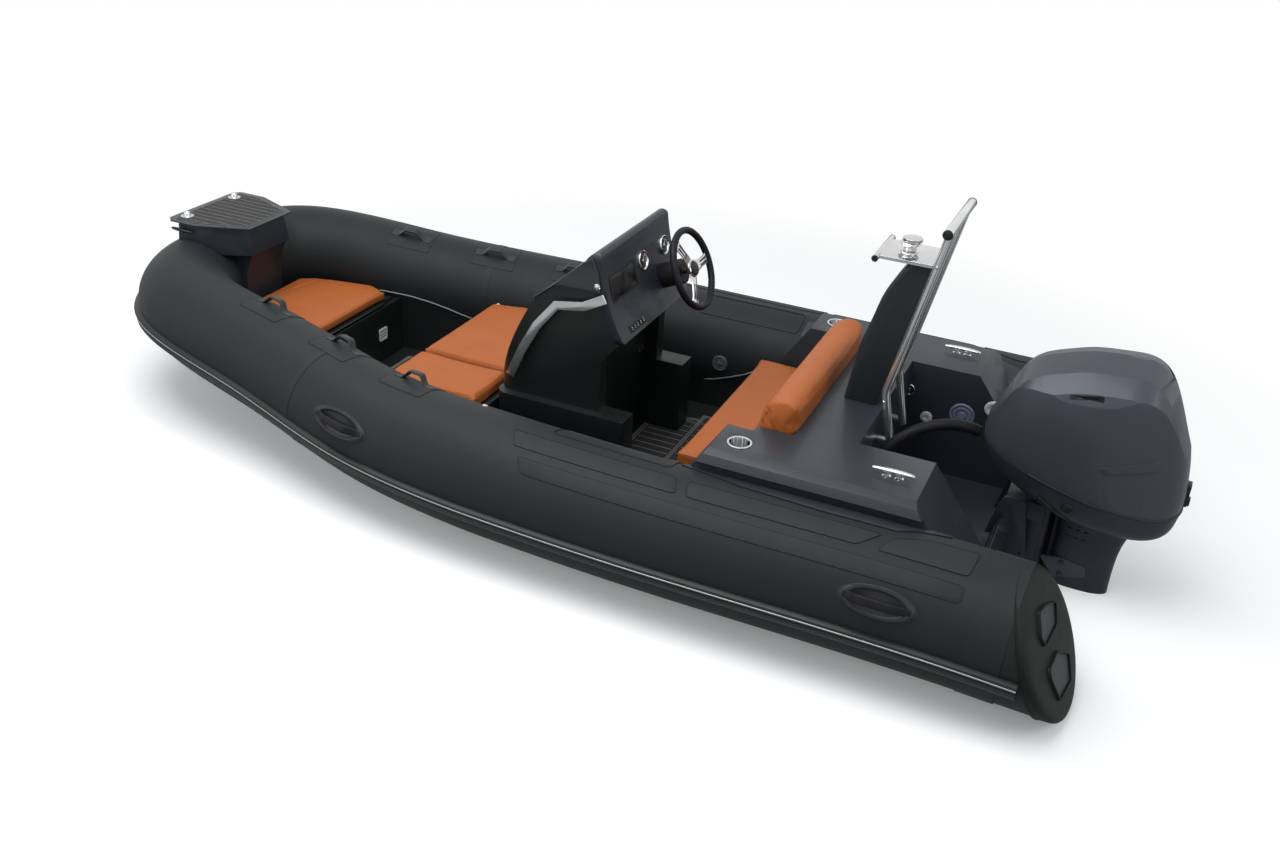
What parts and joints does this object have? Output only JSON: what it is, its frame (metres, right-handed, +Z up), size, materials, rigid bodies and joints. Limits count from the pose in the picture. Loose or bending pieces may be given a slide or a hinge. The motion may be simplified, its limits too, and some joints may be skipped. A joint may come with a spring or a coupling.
{
  "type": "inflatable rib boat",
  "caption": "Open inflatable boat with a rigid V hull, thick side tubes, helm console, orange cushioned seats, stainless tow mast, cleats and a tilting, steering outboard engine.",
  "frame": {"origin": "on the waterline, on the centreline, at the top aft edge of the transom", "axes": "+X to the bow, +Y to port, +Z up"},
  "size_m": [4.6532, 2.1584, 2.016],
  "materials": {
    "black_plastic": "satin black moulding",
    "cap_rubber": "moulded satin, charcoal",
    "console_gelcoat": "satin gelcoat, dark green-black",
    "cowl_paint": "metallic blue-grey paint on moulded plastic",
    "dash_gelcoat": "gloss gelcoat, charcoal blue",
    "deck_gelcoat": "satin gelcoat, blue-grey",
    "deck_tread": "brushed foam planking",
    "engine_paint": "satin blue-grey paint",
    "handle_rubber": "moulded rubber",
    "hose_rubber": "ribbed black hose",
    "hull_gelcoat": "gloss gelcoat, near black",
    "liner_gelcoat": "satin gelcoat, dark green-black",
    "orange_vinyl": "stitched vinyl, orange tan",
    "polished_steel": "polished stainless",
    "propeller_paint": "gloss black paint",
    "smoked_screen": "smoked acrylic",
    "strake_rubber": "satin black rubber with pale lines",
    "strap_webbing": "woven webbing",
    "tube_fabric": "matte coated fabric, charcoal"
  },
  "bodies": {
    "boat": {"aft_cleats": "polished_steel", "aft_moulding": "deck_gelcoat", "backrest": "orange_vinyl", "bow_lights": "polished_steel", "bow_locker": "liner_gelcoat", "bow_step": "deck_gelcoat", "bow_step_tread": "deck_tread", "bow_tube": "tube_fabric", "clamp_bracket": "engine_paint", "console": "console_gelcoat", "console_rails": "polished_steel", "cup_rings": "polished_steel", "dash": "dash_gelcoat", "deck_liner": "liner_gelcoat", "floor_tread": "deck_tread", "front_seat_box": "liner_gelcoat", "helm_hub": "black_plastic", "hull": "hull_gelcoat", "mast_fin": "console_gelcoat", "mast_shelf": "polished_steel", "mast_tubes": "polished_steel", "port_carry_handles": "handle_rubber", "port_end_cap": "cap_rubber", "port_strap_handles": "strap_webbing", "port_tube": "tube_fabric", "rigging_hose": "hose_rubber", "rubbing_strake": "strake_rubber", "starboard_carry_handles": "handle_rubber", "starboard_end_cap": "cap_rubber", "starboard_strap_handles": "strap_webbing", "starboard_tube": "tube_fabric", "transom": "hull_gelcoat", "windscreen": "smoked_screen"},
    "steering_wheel": {"steering_wheel": "black_plastic"},
    "bow_lid": {"bow_lid": "liner_gelcoat", "bow_cushion": "orange_vinyl"},
    "front_lid": {"front_seat_lid": "liner_gelcoat", "front_cushion_port": "orange_vinyl", "front_cushion_starboard": "orange_vinyl"},
    "aft_lid": {"aft_seat_lid": "liner_gelcoat", "aft_cushion": "orange_vinyl"},
    "swivel": {"swivel_bracket": "engine_paint"},
    "outboard": {"engine_leg": "engine_paint", "cowl": "cowl_paint"},
    "propeller": {"propeller": "propeller_paint"}
  },
  "joints": [
    {"name": "engine_tilt", "type": "hinge", "parent": "boat", "child": "swivel", "pos_m": [0.02, 0, 0.318], "axis": [0, 1, 0], "range_deg": [-4, 60], "deforming": ["rigging_hose"]},
    {"name": "engine_steer", "type": "hinge", "parent": "swivel", "child": "outboard", "pos_m": [-0.1, 0, 0.15], "axis": [0, 0, 1], "range_deg": [-30, 30], "deforming": ["rigging_hose"]},
    {"name": "propeller_spin", "type": "hinge", "parent": "outboard", "child": "propeller", "pos_m": [-0.575, 0, -0.445], "axis": [1, 0, 0], "continuous": true},
    {"name": "wheel_turn", "type": "hinge", "parent": "boat", "child": "steering_wheel", "pos_m": [1.47, -0.175, 0.868], "axis": [0.9135, 0, -0.4067], "range_deg": [-540, 540]},
    {"name": "bow_lid_hinge", "type": "hinge", "parent": "boat", "child": "bow_lid", "pos_m": [3.062, 0, 0.33], "axis": [0, -1, 0], "range_deg": [0, 85]},
    {"name": "front_lid_hinge", "type": "hinge", "parent": "boat", "child": "front_lid", "pos_m": [2.5651, 0, 0.311], "axis": [0, 1, 0], "range_deg": [0, 90]},
    {"name": "aft_lid_hinge", "type": "hinge", "parent": "boat", "child": "aft_lid", "pos_m": [1.2051, 0, 0.318], "axis": [0, 1, 0], "range_deg": [0, 90]}
  ],
  "couplings": [
    {"joint": "wheel_turn", "follows": "engine_steer", "ratio": 18}
  ]
}
